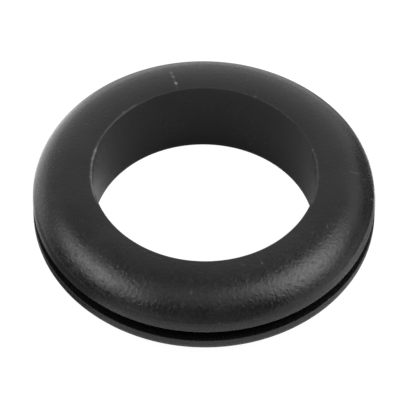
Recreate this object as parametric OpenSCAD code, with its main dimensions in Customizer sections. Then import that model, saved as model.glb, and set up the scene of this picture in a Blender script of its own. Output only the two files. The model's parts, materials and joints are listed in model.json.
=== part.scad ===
// Open rubber grommet: a moulded ring that snaps into a round hole in a panel and guards the
// cable that passes through it. One solid of revolution, the same above and below its groove.
// It stands on the flat ring of its lower flange, with the origin at the middle of that ring.

/* [Cable hole] */
// Diameter of the hole that the cable passes through
bore_d = 20; // [18.5:0.5:20.5]
// Radius of the crisp edge at each mouth of the hole and on both sides of the groove
edge_r = 0.05; // [0.03:0.01:0.15]

/* [Panel groove] */
// Diameter of the groove's floor, which is the diameter of the hole in the panel
groove_d = 25; // [23:0.5:26]
// Width of the groove, which takes the thickness of the panel
groove_w = 1.25; // [1:0.05:1.5]

/* [Flanges] */
// Outside diameter of both flanges
rim_d = 30.7; // [30.5:0.1:31.5]
// Height of the whole grommet, from the face of one flange to the face of the other
height = 7.9; // [7.6:0.1:8.1]
// Width of the ring around each mouth of the hole, rounded edge included, before the flange falls
land_w = 0.35; // [0.3:0.05:0.5]
// Radius of the gentle crown next to that ring
crown_r = 8; // [7:0.5:8.5]
// Slope at which the crown ends and the tighter flank begins, in degrees
crown_slope = 15; // [8:1:15]
// Radius of the shoulder between the flank and the straight wall of the rim
shoulder_r = 1.2; // [1:0.1:1.3]
// Height of the straight wall of the rim, lip included, from the groove to the shoulder
lip_h = 0.5; // [0.3:0.05:0.6]

/* [Hidden] */
$fn = 180;

bore_r = bore_d / 2;
groove_r = groove_d / 2;
rim_r = rim_d / 2;
half_h = height / 2;

// Three arcs, each touching the next, run from the flat ring out to the rim's wall. The crown
// starts level at crest_r. The flank leaves it at crown_slope and meets the shoulder at flank_slope.
crest_r = bore_r + land_w;
crown_mid_z = half_h - crown_r;
crown_end = [crest_r + crown_r * sin(crown_slope), crown_mid_z + crown_r * cos(crown_slope)];
shoulder_mid = [rim_r - shoulder_r, groove_w / 2 + lip_h];
crown_normal = [sin(crown_slope), cos(crown_slope)];
gap = crown_end - shoulder_mid;
flank_r = (gap * gap - shoulder_r ^ 2) / (2 * (gap * crown_normal - shoulder_r));
flank_mid = crown_end - flank_r * crown_normal;
flank_slope = atan2(shoulder_mid.x - flank_mid.x, shoulder_mid.y - flank_mid.y);
// Each arc stands this much proud of the one before it, so that no crack is left where they touch
overlap = 0.0003;

// The part of a disc between its top and the given slope
module arc_slice(radius, slope) {
    reach = 2 * radius;
    intersection() {
        circle(radius);
        polygon([
            [0, 0],
            [0, reach],
            [reach * sin(slope), reach * cos(slope)]
        ]);
    }
}

// What the three arcs take off the square corner of the upper flange
module corner_waste() {
    difference() {
        translate([crest_r, shoulder_mid.y])
            square([rim_r, height]);
        translate([crest_r, crown_mid_z])
            arc_slice(crown_r, crown_slope);
        translate(flank_mid)
            arc_slice(flank_r + overlap, flank_slope);
        translate(shoulder_mid)
            circle(shoulder_r + 2 * overlap);
    }
}

// What a crisp edge's rounding takes off a square corner at the origin, with the rubber towards +X and +Y
module edge_waste() {
    difference() {
        translate([-edge_r, -edge_r])
            square(2 * edge_r);
        translate([edge_r, edge_r])
            circle(edge_r);
    }
}

// Everything that is rounded away above the middle plane
module upper_waste() {
    corner_waste();
    translate([bore_r, half_h])
        mirror([0, 1])
            edge_waste();
    translate([rim_r, groove_w / 2])
        mirror([1, 0])
            edge_waste();
}

// Half section of the ring, drawn about the middle plane of the groove
module ring_section() {
    difference() {
        translate([bore_r, -half_h])
            square([rim_r - bore_r, height]);
        translate([groove_r, -groove_w / 2])
            square([rim_r, groove_w]);
        upper_waste();
        mirror([0, 1])
            upper_waste();
    }
}

// The whole grommet, standing on its lower flange
module grommet() {
    color([0.09, 0.09, 0.095])
        translate([0, 0, half_h])
            rotate_extrude()
                ring_section();
}

grommet();
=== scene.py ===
"""The looks of an open rubber grommet: one moulded ring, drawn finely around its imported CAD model.

The section is the CAD section, drawn as lines and arcs about the middle plane of the groove and
carried around the hole. The small marks of a used ring are raised on it. Lengths in the constants
are millimetres, as in the part's source, and Blender's own lengths are metres. Azimuths and
elevations are degrees about the ring's axis: azimuth 0 is +X and 90 is +Y, the back.
"""

import json
import math

import bpy
import numpy as np
from mathutils import Matrix, Quaternion, Vector


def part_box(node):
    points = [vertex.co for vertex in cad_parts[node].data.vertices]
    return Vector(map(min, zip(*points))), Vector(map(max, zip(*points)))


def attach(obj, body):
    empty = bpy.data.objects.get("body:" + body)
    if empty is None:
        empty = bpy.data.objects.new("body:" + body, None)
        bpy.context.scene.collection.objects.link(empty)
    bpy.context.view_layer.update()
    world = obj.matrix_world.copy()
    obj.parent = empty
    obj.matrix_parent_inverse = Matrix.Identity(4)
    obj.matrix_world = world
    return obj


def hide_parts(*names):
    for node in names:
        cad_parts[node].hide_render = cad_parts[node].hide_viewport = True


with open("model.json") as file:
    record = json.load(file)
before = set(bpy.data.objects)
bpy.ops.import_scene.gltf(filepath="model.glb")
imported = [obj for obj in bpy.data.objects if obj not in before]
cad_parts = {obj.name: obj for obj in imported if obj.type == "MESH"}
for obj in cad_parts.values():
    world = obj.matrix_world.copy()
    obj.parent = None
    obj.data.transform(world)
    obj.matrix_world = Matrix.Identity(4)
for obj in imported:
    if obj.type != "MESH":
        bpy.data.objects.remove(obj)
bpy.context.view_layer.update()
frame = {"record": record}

MM = 0.001

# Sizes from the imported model
low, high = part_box("grommet")
mounts = {mount["name"]: mount for mount in frame["record"]["mounts"]}
RIM_R = (high.x - low.x) / 2 / MM
HALF_H = (high.z - low.z) / 2 / MM
MIDDLE_Z = (high.z + low.z) / 2
BORE_R = mounts["cable_hole"]["dims"]["r_mm"]
GROOVE_R = mounts["panel_groove"]["dims"]["r_mm"]
GROOVE_HALF_W = mounts["panel_groove"]["dims"]["length_mm"] / 2

# The rest of the section, as in the part's source
EDGE_R = 0.05
LAND_W = 0.35
CROWN_R = 8.0
CROWN_SLOPE = math.radians(15)
SHOULDER_R = 1.2
LIP_H = 0.5

# How often the section is repeated around the hole. Within the spread of a mark, in degrees, it is
# repeated this many times closer together.
AROUND = 360
MARK_SPREAD = 0.9
MARK_FINENESS = 8
# Points of the section that are closer than this are one point
SAME_POINT = 1e-6

# Small marks on the upper side: azimuth, distance from the mouth of the hole along the section
# (outwards, or down the hole's wall where it is negative), half width around the ring, half length
# along the section, lift and paleness. A pit has a negative lift.
MARKS = [
    (104.2, 0.92, 0.10, 0.11, 0.030, 1.00),
    (104.5, 1.84, 0.10, 0.16, 0.025, 0.42),
    (104.8, 2.46, 0.11, 0.12, 0.020, 0.28),
    (104.5, 1.60, 0.06, 1.20, 0.008, 0.10),
    (103.2, 1.15, 0.09, 0.12, -0.030, 0.0),
    (105.3, 0.70, 0.09, 0.12, -0.030, 0.0),
    (104.9, 1.30, 0.08, 0.12, -0.020, 0.0),
    (63.5, 0.12, 0.11, 0.11, 0.040, 0.10),
    (16.5, 0.02, 0.10, 0.10, 0.040, 0.08),
    (136.5, 0.14, 0.11, 0.11, 0.035, 0.08),
    (166.5, 0.10, 0.16, 0.12, 0.040, 0.24),
    (171.5, 0.12, 0.14, 0.12, 0.030, 0.12),
    (183.5, 0.10, 0.16, 0.12, 0.030, 0.12),
    (64.5, -3.49, 0.14, 0.14, 0.020, 0.05),
    (58.5, -4.68, 0.16, 0.16, 0.020, 0.05),
    (3.6, 3.50, 0.06, 0.45, 0.010, 0.08),
    (3.8, 3.95, 0.10, 0.10, 0.020, 0.12),
    (265.5, 3.20, 0.12, 0.12, 0.020, 0.08),
    (288.5, 0.90, 0.11, 0.11, 0.020, 0.07),
    (297.0, 1.30, 0.10, 0.10, 0.020, 0.07),
]
# Arcs of the upper mouth that are rubbed pale, a paleness that also paints the highlight along the
# mouth's rounded edge: first and last azimuth, and how much. Then the degrees over which they fade at
# their ends, their middle and reach along the section, and how much they are raised.
RUB_AND_HIGHLIGHT_ARCS = [(126, 204, 0.09), (161, 200, 0.18), (-22, 18, 0.07)]
RUB_AND_HIGHLIGHT_FADE = 5
RUB_AND_HIGHLIGHT_MIDDLE = 0.1
RUB_AND_HIGHLIGHT_REACH = 0.09
RUBBED_LIFT = 0.03
# The crisp edges are worn: how far from them, and how pale
WEAR_REACH = 0.12
WEAR_PALENESS = 0.02
# The moulded grain is coarser at the front: azimuth of its middle, where it starts to weaken on
# either side, where it stops weakening, and the strength that is left there
COARSE_GRAIN = (272, 45, 75, 0.55)
# What is left of the grain on the wall of the hole, which is smooth
BORE_GRAIN = 0.04

# Noises of the rubber: scale, octaves and roughness. The scale is in cells a metre, except for the
# streaks. They run outwards, so theirs is in cells a radian, and along the radius STREAK_CHANGE times
# that many a metre.
GRAIN = (3200, 1.0, 0.6)
PIMPLES = (3300, 0.0, 0.5)
DIMPLES = (900, 1.0, 0.5)
HAZE = (1500, 4.0, 0.7)
CLOUDS = (230, 3.0, 0.6)
STREAKS = (60, 1.0, 0.5)
STREAK_CHANGE = 12.0
DUST_SCALE = 640.0
# Where a speck of dust begins to fall off and where it ends, in cells from its middle
SPECK_EDGE = (0.02, 0.1)
# The values of their noise at which pimples begin and are full
PIMPLE_EDGE = (0.56, 0.74)
# The values of the clouds between which the film and the roughness change
CLOUD_RANGE = (0.3, 0.7)
# The haze breaks up what is rubbed and worn, and the painted highlight at the mouth: its values, and
# the shares of the paleness that they leave
HAZE_RANGE = (0.35, 0.65)
HAZE_SHARES = (0.4, 1.3)
# How much of each is in the height of the surface, and that height in metres
HEIGHT_SHARES = {"grain": 0.6, "streaks": 0.35, "pimples": 0.35, "dimples": 0.25, "specks": 1.1}
BUMP_HEIGHT = 0.000025
# The rubber's own grey, and the grey of what is pale on it: chalk, dust, a film of bloom that is left
# off the inside of the groove as painted shade, and the pale rub at the mouth, which is partly a
# painted highlight
BLACK = (0.0065, 0.0065, 0.0065, 1)
CHALK_AND_HIGHLIGHT_GREY = (0.5, 0.5, 0.49, 1)
DUST_PALENESS = 0.05
FILM = (0.003, 0.015)
# Roughness of the clean rubber, how far the grain changes it either way, and what chalk adds
ROUGHNESS = (0.23, 0.3)
GRAIN_ROUGHNESS = 0.19
CHALK_ROUGHNESS = 0.6

# Distance of the lights in metres. Each is a stack of ellipses, of these scales, whose distances
# differ by this share, so that its edge falls off in steps.
LIGHT_DISTANCE = 0.5
LAYERS = (0.55, 1.0, 1.45)
LAYER_GAP = 0.02
# Softboxes: name, azimuth, elevation, half width and half height, all in degrees, then the roll
# that lifts the end at the higher azimuth, and the radiance
SOFTBOXES = [
    ("right_softbox", -8.5, 46.8, 17.3, 18.6, -14, 4.35),
    ("right_end_softbox", 27, 29, 13, 9, 0, 0.5),
    ("left_softbox", 194.4, 41.7, 20.9, 13.0, 14, 4.0),
    ("left_end_softbox", 174, 19, 9, 7, 0, 0.4),
    ("upper_left_softbox", 182, 61, 12, 6, 0, 0.8),
    ("top_softbox", 260, 72, 17, 17, 0, 0.6),
    ("high_right_softbox", 300, 58, 14, 11, 0, 0.3),
    ("upper_right_softbox", 330, 71, 12, 7, 0, 0.8),
    ("low_left_softbox", 151, 5, 15, 6, 0, 1.0),
    ("low_right_softbox", 349, 8, 18, 6, 0, 1.15),
    ("low_front_softbox", 232, 12, 12, 7, 0, 0.8),
    ("front_softbox", 256, 18, 32, 11, 0, 0.36),
    ("front_right_softbox", 317, 10, 14, 10, 0, 0.85),
]
# A black card that keeps the light off a part of the horizon: azimuth, elevation, half width and
# half height in degrees
FLAG = (38, 3, 14, 8)
FLAG_GREY = 0.02
# Radiance of the room, in front and straight up, and straight behind
ROOM = (0.06, 0.96)

# The floor's size and the backdrop's radius in metres. The camera sees them white. The paper that
# the rubber reflects lies a hair below.
FLOOR_SIZE = 4
BACKDROP_R = 0.9
PAPER_Z = -0.00002
PAPER_GREY = 0.75
WHITE_GREY = 0.1
WHITE_GLOW = 0.97
# Shaded places on the paper: azimuth, distance and reach, and the share of light left there
FLOOR_SHADES = [
    (20, 80, 62, 0.1),
    (27, 42, 22, 0.1),
    (82, 15, 22, 0.45),
    (48, 21, 9, 0.62),
    (196, 40, 28, 0.15),
    (210, 19.5, 8, 0.3),
    (357, 18, 6.5, 0.55),
    (130, 40, 15, 0.5),
]
# Brighter places on it: azimuth, distance, reach and radiance
FLOOR_GLOWS = [
    (145, 90, 80, 1.0),
    (144, 30, 15, 0.8),
    (155, 20, 10, 0.62),
    (27, 19, 7.2, 3.3),
    (142, 18.5, 6.5, 0.5),
    (0, 0, 14, 0.09),
    (170, 8, 5, 0.19),
    (344, 38, 22, 0.5),
    (82, 36, 20, 0.26),
]
# Each is even out to this share of its reach, and fades from there
POOL_MIDDLE = 0.4

# The camera: its elevation and roll in degrees, its distance in metres, the point that it aims at,
# from the ring's middle, its lens and its sensor's width, and how near and far it sees, in metres
CAMERA_ELEVATION = 50.554
CAMERA_ROLL = 0.739
CAMERA_DISTANCE = 0.4
CAMERA_AIM = (-0.052, -0.234)
LENS = 394.054
SENSOR_W = 36
CLIP = (0.01, 10)


def arc(centre, radius, start, end, steps):
    """Points of an arc. Angles are slopes: 0 is its top and a quarter turn is its outer side."""
    for slope in np.linspace(start, end, steps + 1):
        yield (centre[0] + radius * math.sin(slope), centre[1] + radius * math.cos(slope))


def line(start, end, steps):
    """Points of a straight stretch"""
    for share in np.linspace(0, 1, steps + 1):
        yield (start[0] + (end[0] - start[0]) * share, start[1] + (end[1] - start[1]) * share)


def half_section(fineness):
    """The section above the middle plane, from the hole's wall over the flange to the groove's floor

    The last number of each stretch is how many steps it is drawn in.
    """
    quarter = math.pi / 2
    crest_r = BORE_R + LAND_W
    crown_mid = np.array([crest_r, HALF_H - CROWN_R])
    normal = np.array([math.sin(CROWN_SLOPE), math.cos(CROWN_SLOPE)])
    crown_end = crown_mid + CROWN_R * normal
    shoulder_mid = np.array([RIM_R - SHOULDER_R, GROOVE_HALF_W + LIP_H])
    gap = crown_end - shoulder_mid
    flank_r = (gap @ gap - SHOULDER_R ** 2) / (2 * (gap @ normal - SHOULDER_R))
    flank_mid = crown_end - flank_r * normal
    flank_slope = math.atan2(*(shoulder_mid - flank_mid))
    stretches = [
        line((BORE_R, 0), (BORE_R, HALF_H - EDGE_R), 10 * fineness),
        arc((BORE_R + EDGE_R, HALF_H - EDGE_R), EDGE_R, -quarter, 0, 3 * fineness),
        line((BORE_R + EDGE_R, HALF_H), (crest_r, HALF_H), 4 * fineness),
        arc(crown_mid, CROWN_R, 0, CROWN_SLOPE, 9 * fineness),
        arc(flank_mid, flank_r, CROWN_SLOPE, flank_slope, 10 * fineness),
        arc(shoulder_mid, SHOULDER_R, flank_slope, quarter, 4 * fineness),
        line((RIM_R, shoulder_mid[1]), (RIM_R, GROOVE_HALF_W + EDGE_R), 2),
        arc((RIM_R - EDGE_R, GROOVE_HALF_W + EDGE_R), EDGE_R, quarter, 2 * quarter, 4),
        line((RIM_R - EDGE_R, GROOVE_HALF_W), (GROOVE_R, GROOVE_HALF_W), 4),
        line((GROOVE_R, GROOVE_HALF_W), (GROOVE_R, 0), 2),
    ]
    points = []
    for stretch in stretches:
        for point in stretch:
            if not points or math.dist(point, points[-1]) > SAME_POINT:
                points.append(point)
    return points


def section():
    """The whole section as one closed loop, finer above the middle, where the small marks are"""
    upper = half_section(2)
    lower = [(r, -z) for r, z in reversed(half_section(1)[1:-1])]
    return np.array(upper + lower)


def turned(angles, middle):
    """How far each azimuth is turned from a middle one, the short way round, in degrees"""
    return (angles - middle + 180) % 360 - 180


def azimuths():
    """Where the section is repeated around the hole: evenly, and closer together at the marks"""
    middles = np.array([mark[0] for mark in MARKS])
    angles = []
    for step in range(AROUND * MARK_FINENESS):
        angle = step * 360 / (AROUND * MARK_FINENESS)
        if step % MARK_FINENESS == 0 or abs(turned(angle, middles)).min() < MARK_SPREAD:
            angles.append(angle)
    return np.array(angles)


def along_section(loop):
    """Distance of each point from the upper mouth of the hole, negative on the hole's wall"""
    steps = np.hypot(*(np.roll(loop, -1, axis=0) - loop).T)
    along = np.concatenate([[0], np.cumsum(steps)[:-1]])
    corner = np.argmin(np.hypot(loop[:, 0] - BORE_R, loop[:, 1] - HALF_H))
    return along - along[corner]


def normals(loop):
    """Outward direction of the surface at each point of the section"""
    tangent = np.roll(loop, -1, axis=0) - np.roll(loop, 1, axis=0)
    tangent /= np.hypot(*tangent.T)[:, None]
    return np.stack([-tangent[:, 1], tangent[:, 0]], axis=1)


def near(value, middle, size):
    """1 at the middle, falling to 0 on both sides of it in a smooth bell"""
    return np.exp(-((value - middle) / size) ** 2)


def eased(share):
    """A share between 0 and 1, with a soft start and a soft end"""
    share = np.clip(share, 0, 1)
    return share * share * (3 - 2 * share)


def grain_strength(angles):
    """How strong the moulded grain is at each azimuth"""
    middle, start, end, left = COARSE_GRAIN
    away = abs(turned(angles, middle))
    return left + (1 - left) * eased((end - away) / (end - start))


def rubbed_and_highlit(angles):
    """How pale the upper mouth of the hole is at each azimuth: a rub, and partly a painted highlight
    along its edge
    """
    amount = np.zeros_like(angles)
    for first, last, share in RUB_AND_HIGHLIGHT_ARCS:
        inside = (angles - first) % 360
        amount += share * eased(np.minimum(inside, last - first - inside) / RUB_AND_HIGHLIGHT_FADE)
    return amount


def ring_mesh():
    """The ring, with its small marks raised on it and four attributes for its material"""
    loop = section()
    angles = azimuths()
    around, count = len(angles), len(loop)
    along = along_section(loop)
    outward = normals(loop)
    r = loop[:, 0]
    lift = np.zeros((around, count))
    pale = np.zeros((around, count))
    for azimuth, place, half_width, half_length, height, paleness in MARKS:
        turn = np.radians(turned(angles, azimuth))
        mark = near(turn[:, None] * r, 0, half_width) * near(along, place, half_length)
        lift += height * mark
        pale += paleness * mark
    # The pale rub at the mouth is raised a little, and its paleness partly paints the highlight along
    # the mouth's rounded edge
    mouth = rubbed_and_highlit(angles)[:, None] * near(along, RUB_AND_HIGHLIGHT_MIDDLE, RUB_AND_HIGHLIGHT_REACH)
    lift += RUBBED_LIFT * mouth
    pale += mouth
    corners = np.minimum(
        np.hypot(r - BORE_R, abs(loop[:, 1]) - HALF_H),
        np.hypot(r - RIM_R, abs(loop[:, 1]) - GROOVE_HALF_W),
    )
    # The inside of the groove gets no edge wear, and the material leaves the bloom film off it as
    # painted shade that darkens the groove
    sunk = (abs(loop[:, 1]) < GROOVE_HALF_W + EDGE_R / 2) & (r > BORE_R + LAND_W)
    wear = near(corners, 0, WEAR_REACH) * ~sunk
    turn = np.radians(angles)[:, None]
    out = r + lift * outward[:, 0]
    coarse = grain_strength(angles)[:, None]
    points = np.stack([
        np.cos(turn) * out,
        np.sin(turn) * out,
        loop[:, 1] + lift * outward[:, 1] + MIDDLE_Z / MM,
    ], axis=-1)
    faces = []
    for i in range(around):
        here, after = i * count, (i + 1) % around * count
        for j in range(count):
            k = (j + 1) % count
            faces.append((here + j, here + k, after + k, after + j))
    mesh = bpy.data.meshes.new("grommet_rubber")
    mesh.from_pydata((points.reshape(-1, 3) * MM).tolist(), [], faces)
    mesh.shade_smooth()
    for name, values in (("pale", pale), ("wear", wear), ("sunk", sunk), ("coarse", coarse)):
        values = np.broadcast_to(values, (around, count)).ravel().astype(float)
        mesh.attributes.new(name, "FLOAT", "POINT").data.foreach_set("value", values)
    return mesh


class Nodes:
    """A material's nodes, made and linked in one call each"""

    def __init__(self, name):
        self.material = bpy.data.materials.new(name)
        self.material.use_nodes = True
        self.tree = self.material.node_tree
        self.shader = self.tree.nodes["Principled BSDF"]

    def put(self, socket, value):
        """Links a socket to another node's output, or sets it to a number or a colour"""
        if isinstance(value, bpy.types.NodeSocket):
            self.tree.links.new(value, socket)
        else:
            socket.default_value = value

    def finish(self, **inputs):
        """Puts values on the shader's own sockets, which are named with _ for each space"""
        for name, value in inputs.items():
            self.put(self.shader.inputs[name.replace("_", " ")], value)

    def add(self, kind, output, inputs, **settings):
        """A new node with its inputs filled and its settings made. Gives one of its outputs."""
        node = self.tree.nodes.new("ShaderNode" + kind)
        for name, value in settings.items():
            setattr(node, name, value)
        for name, value in inputs.items():
            self.put(node.inputs[name], value)
        return node.outputs[output]

    def plus(self, first, second):
        return self.add("Math", "Value", {0: first, 1: second}, operation="ADD")

    def times(self, first, second):
        return self.add("Math", "Value", {0: first, 1: second}, operation="MULTIPLY")

    def vector(self, operation, output, *inputs):
        return self.add("VectorMath", output, dict(enumerate(inputs)), operation=operation)

    def noise(self, place, scale, octaves, roughness):
        inputs = {"Vector": place, "Scale": scale, "Detail": octaves, "Roughness": roughness}
        return self.add("TexNoise", "Fac", inputs)

    def mix(self, share, first, second):
        """A colour between two. The sockets go by number, because several have the same name."""
        inputs = {0: share, 6: first, 7: second}
        return self.add("Mix", 2, inputs, data_type="RGBA", clamp_factor=True)

    def attribute(self, name):
        return self.add("Attribute", "Fac", {}, attribute_name=name)

    def remap(self, value, low, high, bottom, top, smooth=False):
        """Turns low to high into bottom to top, and holds what lies outside at the ends"""
        inputs = {
            "Value": value,
            "From Min": low,
            "From Max": high,
            "To Min": bottom,
            "To Max": top,
        }
        kind = "SMOOTHSTEP" if smooth else "LINEAR"
        return self.add("MapRange", "Result", inputs, interpolation_type=kind)


def rubber():
    """Satin black rubber: a fine moulded grain, faint streaks outwards, dust, pale edge wear and a
    pale rub at the mouth that is partly a painted highlight. The inside of the groove is kept darker
    as painted shade.
    """
    nodes = Nodes("rubber")
    place = nodes.add("TexCoord", "Object", {})
    flat = nodes.vector("MULTIPLY", "Vector", place, (1, 1, 0))
    outward = nodes.vector("NORMALIZE", "Vector", flat)
    reach = nodes.vector("LENGTH", "Value", flat)
    streak_change = nodes.add("CombineXYZ", "Vector", {"Z": nodes.times(reach, STREAK_CHANGE)})

    grain = nodes.noise(place, *GRAIN)
    clouds = nodes.noise(place, *CLOUDS)
    dust = nodes.add("TexVoronoi", "Distance", {"Vector": place, "Scale": DUST_SCALE})
    specks = nodes.remap(dust, *SPECK_EDGE, 1, 0, smooth=True)
    layers = {
        "grain": grain,
        "streaks": nodes.noise(nodes.vector("ADD", "Vector", outward, streak_change), *STREAKS),
        "pimples": nodes.remap(nodes.noise(place, *PIMPLES), *PIMPLE_EDGE, 0, 1, smooth=True),
        "dimples": nodes.noise(place, *DIMPLES),
        "specks": specks,
    }
    height = 0.0
    for name, share in HEIGHT_SHARES.items():
        height = nodes.plus(height, nodes.times(layers[name], share))
    flange = nodes.remap(reach, BORE_R * MM, (BORE_R + LAND_W) * MM, BORE_GRAIN, 1)
    moulded = nodes.times(flange, nodes.attribute("coarse"))
    inputs = {"Height": height, "Distance": BUMP_HEIGHT, "Strength": moulded}
    bump = nodes.add("Bump", "Normal", inputs)

    broken = nodes.remap(nodes.noise(place, *HAZE), *HAZE_RANGE, *HAZE_SHARES)
    # The pale attribute holds the marks and the rub at the mouth, which is partly a painted highlight
    worn_and_highlit = nodes.plus(nodes.attribute("pale"), nodes.times(nodes.attribute("wear"), WEAR_PALENESS))
    dusty = nodes.times(nodes.times(specks, DUST_PALENESS), clouds)
    chalk_and_highlight = nodes.plus(nodes.times(worn_and_highlit, broken), dusty)
    # Painted shade: the film is left off the inside of the groove, so the groove comes out darker
    outside_groove_shade = nodes.add("Math", "Value", {0: 1.0, 1: nodes.attribute("sunk")}, operation="SUBTRACT")
    film_and_groove_shade = nodes.times(nodes.remap(clouds, *CLOUD_RANGE, *FILM), outside_groove_shade)
    colour = nodes.mix(nodes.plus(chalk_and_highlight, film_and_groove_shade), BLACK, CHALK_AND_HIGHLIGHT_GREY)

    matt = nodes.times(moulded, nodes.remap(grain, 0, 1, -GRAIN_ROUGHNESS, GRAIN_ROUGHNESS))
    roughness = nodes.plus(nodes.remap(clouds, *CLOUD_RANGE, *ROUGHNESS), matt)
    roughness = nodes.plus(roughness, nodes.times(chalk_and_highlight, CHALK_ROUGHNESS))
    nodes.finish(Base_Color=colour, Roughness=roughness, Normal=bump, Specular_IOR_Level=0.5)
    return nodes.material


def matte(name, grey, glow=0.0):
    """A plain paper, card or backdrop without gloss"""
    nodes = Nodes(name)
    nodes.finish(Base_Color=(grey, grey, grey, 1), Specular_IOR_Level=0)
    nodes.finish(Emission_Color=(1, 1, 1, 1), Emission_Strength=glow)
    return nodes


def direction(azimuth, elevation):
    """Unit vector towards a place on the sky"""
    turn, rise = math.radians(azimuth), math.radians(elevation)
    level = math.cos(rise)
    return Vector((level * math.cos(turn), level * math.sin(turn), math.sin(rise)))


def spread(distance, half_angle):
    """Width of something at a distance that fills an angle to both sides of its middle"""
    return 2 * distance * math.tan(math.radians(half_angle))


def softbox(name, azimuth, elevation, half_width, half_height, roll, radiance):
    """A soft light whose edge falls off in steps. Its sizes are angles seen from the grommet."""
    for layer, scale in enumerate(LAYERS):
        distance = LIGHT_DISTANCE * (1 + LAYER_GAP * layer)
        data = bpy.data.lights.new(f"{name}_{layer}", "AREA")
        data.shape = "ELLIPSE"
        data.size = spread(distance, half_width * scale)
        data.size_y = spread(distance, half_height * scale)
        area = math.pi / 4 * data.size * data.size_y
        data.energy = math.pi * area * radiance / len(LAYERS)
        lamp = bpy.data.objects.new(data.name, data)
        bpy.context.scene.collection.objects.link(lamp)
        towards = direction(azimuth, elevation)
        lamp.location = towards * distance
        aim = towards.to_track_quat("Z", "Y") @ Quaternion((0, 0, 1), math.radians(roll))
        lamp.rotation_euler = aim.to_euler()
        lamp.visible_camera = False


def studio():
    """Big softboxes on the left and right, weak ones around them, and a room brighter at the back"""
    for box in SOFTBOXES:
        softbox(*box)
    world = bpy.data.worlds.new("studio")
    bpy.context.scene.world = world
    world.use_nodes = True
    nodes, links = world.node_tree.nodes, world.node_tree.links
    place = nodes.new("ShaderNodeTexCoord")
    split = nodes.new("ShaderNodeSeparateXYZ")
    ramp = nodes.new("ShaderNodeMapRange")
    ramp.inputs["To Min"].default_value = ROOM[0]
    ramp.inputs["To Max"].default_value = ROOM[1]
    links.new(place.outputs["Generated"], split.inputs[0])
    links.new(split.outputs["Y"], ramp.inputs["Value"])
    nodes["Background"].inputs["Color"].default_value = (1, 1, 1, 1)
    links.new(ramp.outputs["Result"], nodes["Background"].inputs["Strength"])


def staged(name, material, for_camera):
    """Names the new object and gives it its material, seen by the camera alone or by all but the
    camera
    """
    obj = bpy.context.object
    obj.name = name
    obj.data.materials.append(material)
    obj.visible_camera = for_camera
    obj.visible_diffuse = not for_camera
    obj.visible_glossy = not for_camera
    obj.visible_transmission = not for_camera
    obj.visible_shadow = not for_camera
    return obj


def pool(paper, place, azimuth, distance, reach, middle, edge):
    """A round place on the paper: its value in the middle and at its edge"""
    centre = direction(azimuth, 0) * distance * MM
    away = paper.vector("DISTANCE", "Value", place, centre)
    return paper.remap(away, POOL_MIDDLE * reach * MM, reach * MM, middle, edge, smooth=True)


def floor_paper():
    """The paper that the rubber reflects, with its shaded and its brighter places"""
    paper = matte("floor_paper", PAPER_GREY)
    place = paper.add("TexCoord", "Object", {})
    shade = 1.0
    for *circle, share in FLOOR_SHADES:
        shade = paper.times(shade, pool(paper, place, *circle, share, 1))
    glow = 0.0
    for *circle, radiance in FLOOR_GLOWS:
        glow = paper.plus(glow, pool(paper, place, *circle, radiance, 0))
    inputs = {0: (PAPER_GREY,) * 3, "Scale": shade}
    colour = paper.add("VectorMath", "Vector", inputs, operation="SCALE")
    paper.finish(Base_Color=colour, Emission_Strength=glow)
    return paper.material


def floor():
    """A pale floor that lights the rubber from below, and the white of the background over it"""
    add_plane = bpy.ops.mesh.primitive_plane_add
    add_plane(size=FLOOR_SIZE, location=(0, 0, PAPER_Z))
    staged("floor_bounce", floor_paper(), for_camera=False)
    white = matte("floor_white", WHITE_GREY, WHITE_GLOW).material
    add_plane(size=FLOOR_SIZE)
    staged("floor", white, for_camera=True)
    bpy.ops.mesh.primitive_uv_sphere_add(segments=64, ring_count=32, radius=BACKDROP_R)
    staged("backdrop", white, for_camera=True)


def flag(azimuth, elevation, half_width, half_height):
    """A black card low at the back, which darkens what the flank reflects on the right"""
    bpy.ops.mesh.primitive_plane_add(size=1)
    card = staged("flag", matte("flag_black", FLAG_GREY).material, for_camera=False)
    towards = direction(azimuth, elevation)
    card.location = towards * LIGHT_DISTANCE
    card.rotation_euler = towards.to_track_quat("Z", "Y").to_euler()
    width, height = spread(LIGHT_DISTANCE, half_width), spread(LIGHT_DISTANCE, half_height)
    card.scale = (width, height, 1)


def camera():
    """The photograph's view: down on the front of the ring, from far off and very slightly rolled"""
    data = bpy.data.cameras.new("camera")
    data.sensor_width = SENSOR_W
    data.lens = LENS
    data.clip_start, data.clip_end = CLIP
    obj = bpy.data.objects.new("camera", data)
    bpy.context.scene.collection.objects.link(obj)
    middle = Vector((0, 0, MIDDLE_Z))
    place = middle + direction(270, CAMERA_ELEVATION) * CAMERA_DISTANCE
    aim = middle + Vector((*CAMERA_AIM, 0)) * MM
    look = (aim - place).to_track_quat("-Z", "Y").to_matrix().to_4x4()
    roll = Matrix.Rotation(math.radians(CAMERA_ROLL), 4, "Z")
    obj.matrix_world = Matrix.Translation(place) @ look @ roll
    bpy.context.scene.camera = obj


grommet = bpy.data.objects.new("grommet_ring", ring_mesh())
bpy.context.scene.collection.objects.link(grommet)
grommet.data.materials.append(rubber())
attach(grommet, "root")
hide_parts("grommet")
floor()
flag(*FLAG)
studio()
camera()
bpy.context.scene.view_settings.view_transform = "Standard"
